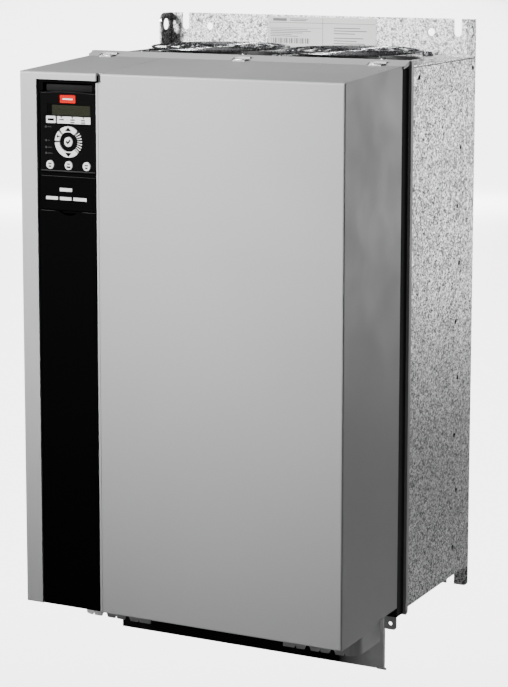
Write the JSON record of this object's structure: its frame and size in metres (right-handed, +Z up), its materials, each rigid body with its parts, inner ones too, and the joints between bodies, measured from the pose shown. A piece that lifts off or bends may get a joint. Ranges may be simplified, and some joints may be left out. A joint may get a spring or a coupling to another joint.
{
  "type": "variable frequency drive",
  "caption": "Wall-hung variable frequency drive: grey hinged cover, black control strip with a pull-off keypad, galvanised chassis with roof fans and a slotted mounting flange.",
  "frame": {"origin": "on the wall face, midway between the upper and lower mounting slots and midway between the left and right ones", "axes": "+Z up, +Y into the wall, +X to the right seen from the front"},
  "size_m": [0.375, 0.335, 0.679],
  "materials": {
    "galvanised": "spangled zinc",
    "rail_paint": "satin",
    "cover_paint": "fine satin powder coat",
    "gasket_foam": "matte",
    "bare_aluminium": "extruded",
    "fan_plastic": "moulded",
    "bright_wire": "bright",
    "module_plastic": "moulded",
    "can_sleeve": "sleeve",
    "copper_bar": "satin copper",
    "core_steel": "varnished laminations",
    "terminal_grey": "moulded",
    "board_green": "solder mask",
    "component_dark": "moulded",
    "terminal_green": "moulded",
    "strip_black": "fine texture",
    "keypad_black": "fine texture",
    "key_white": "soft",
    "legend_white": "satin",
    "badge_red": "gloss",
    "lens": "clear",
    "lcd_olive": "satin",
    "led_grey": "diffuse",
    "tray_plastic": "moulded",
    "label_foil": "satin foil"
  },
  "bodies": {
    "chassis": {"back_plate": "galvanised", "side_panel_left": "galvanised", "side_panel_right": "galvanised", "top_plate": "galvanised", "bottom_plate": "galvanised", "mid_plate": "galvanised", "cable_bracket": "galvanised", "earth_tab": "galvanised", "capacitor_bracket": "galvanised", "front_frame": "rail_paint", "control_cover": "cover_paint", "frame_gasket": "gasket_foam", "heat_sink": "bare_aluminium", "fan_housing_left": "fan_plastic", "fan_housing_right": "fan_plastic", "fan_guard_left": "bright_wire", "fan_guard_right": "bright_wire", "fan_screws": "bright_wire", "bracket_screws": "bright_wire", "earth_studs": "bright_wire", "rectifier_modules": "module_plastic", "igbt_modules": "module_plastic", "current_sensors": "module_plastic", "capacitor_bank": "can_sleeve", "dc_bus_plate": "copper_bar", "choke_coils": "copper_bar", "input_busbars": "copper_bar", "output_busbars": "copper_bar", "choke_core": "core_steel", "mains_terminals": "terminal_grey", "motor_terminals": "terminal_grey", "power_board": "board_green", "control_board": "board_green", "power_components": "component_dark", "control_terminals": "terminal_green", "control_cradle": "strip_black", "name_panel": "strip_black", "keypad_socket": "strip_black", "cable_tray": "tray_plastic", "nameplate": "label_foil"},
    "main_cover": {"main_cover": "cover_paint"},
    "terminal_cover": {"terminal_cover": "strip_black"},
    "fan_rotor_left": {"fan_rotor_left": "fan_plastic"},
    "fan_rotor_right": {"fan_rotor_right": "fan_plastic"},
    "keypad": {"keypad_housing": "keypad_black", "display_glass": "lens", "lcd_panel": "lcd_olive", "legend_strip": "legend_white", "keypad_badge": "badge_red", "indicator_leds": "led_grey"},
    "key_menu": {"key_menu": "legend_white"},
    "key_up": {"key_up": "key_white"},
    "key_down": {"key_down": "key_white"},
    "key_back": {"key_back": "key_white"},
    "key_ok": {"key_ok": "key_white"},
    "key_round_left": {"key_round_left": "key_white"},
    "key_round_middle": {"key_round_middle": "key_white"},
    "key_round_right": {"key_round_right": "key_white"}
  },
  "joints": [
    {"name": "main_cover_hinge", "type": "hinge", "parent": "chassis", "child": "main_cover", "pos_m": [0, -0.187, 0.279], "axis": [-1, 0, 0], "range_deg": [0, 55]},
    {"name": "terminal_cover_hinge", "type": "hinge", "parent": "chassis", "child": "terminal_cover", "pos_m": [-0.124, -0.331, -0.287], "axis": [1, 0, 0], "range_deg": [0, 100]},
    {"name": "keypad_pull", "type": "slide", "parent": "chassis", "child": "keypad", "axis": [0, -1, 0], "range_m": [0, 0.04]},
    {"name": "fan_spin_left", "type": "hinge", "parent": "chassis", "child": "fan_rotor_left", "pos_m": [-0.08, -0.084, 0.25], "axis": [0, 0, 1], "continuous": true},
    {"name": "fan_spin_right", "type": "hinge", "parent": "chassis", "child": "fan_rotor_right", "pos_m": [0.08, -0.084, 0.25], "axis": [0, 0, 1], "continuous": true},
    {"name": "key_menu_press", "type": "slide", "parent": "keypad", "child": "key_menu", "axis": [0, 1, 0], "range_m": [0, 0.0008], "stiffness_N_per_m": 800, "springref_m": -0.001},
    {"name": "key_up_press", "type": "slide", "parent": "keypad", "child": "key_up", "axis": [0, 1, 0], "range_m": [0, 0.0008], "stiffness_N_per_m": 800, "springref_m": -0.001},
    {"name": "key_down_press", "type": "slide", "parent": "keypad", "child": "key_down", "axis": [0, 1, 0], "range_m": [0, 0.0008], "stiffness_N_per_m": 800, "springref_m": -0.001},
    {"name": "key_back_press", "type": "slide", "parent": "keypad", "child": "key_back", "axis": [0, 1, 0], "range_m": [0, 0.0008], "stiffness_N_per_m": 800, "springref_m": -0.001},
    {"name": "key_ok_press", "type": "slide", "parent": "keypad", "child": "key_ok", "axis": [0, 1, 0], "range_m": [0, 0.0008], "stiffness_N_per_m": 800, "springref_m": -0.001},
    {"name": "key_round_left_press", "type": "slide", "parent": "keypad", "child": "key_round_left", "axis": [0, 1, 0], "range_m": [0, 0.0008], "stiffness_N_per_m": 800, "springref_m": -0.001},
    {"name": "key_round_middle_press", "type": "slide", "parent": "keypad", "child": "key_round_middle", "axis": [0, 1, 0], "range_m": [0, 0.0008], "stiffness_N_per_m": 800, "springref_m": -0.001},
    {"name": "key_round_right_press", "type": "slide", "parent": "keypad", "child": "key_round_right", "axis": [0, 1, 0], "range_m": [0, 0.0008], "stiffness_N_per_m": 800, "springref_m": -0.001}
  ]
}
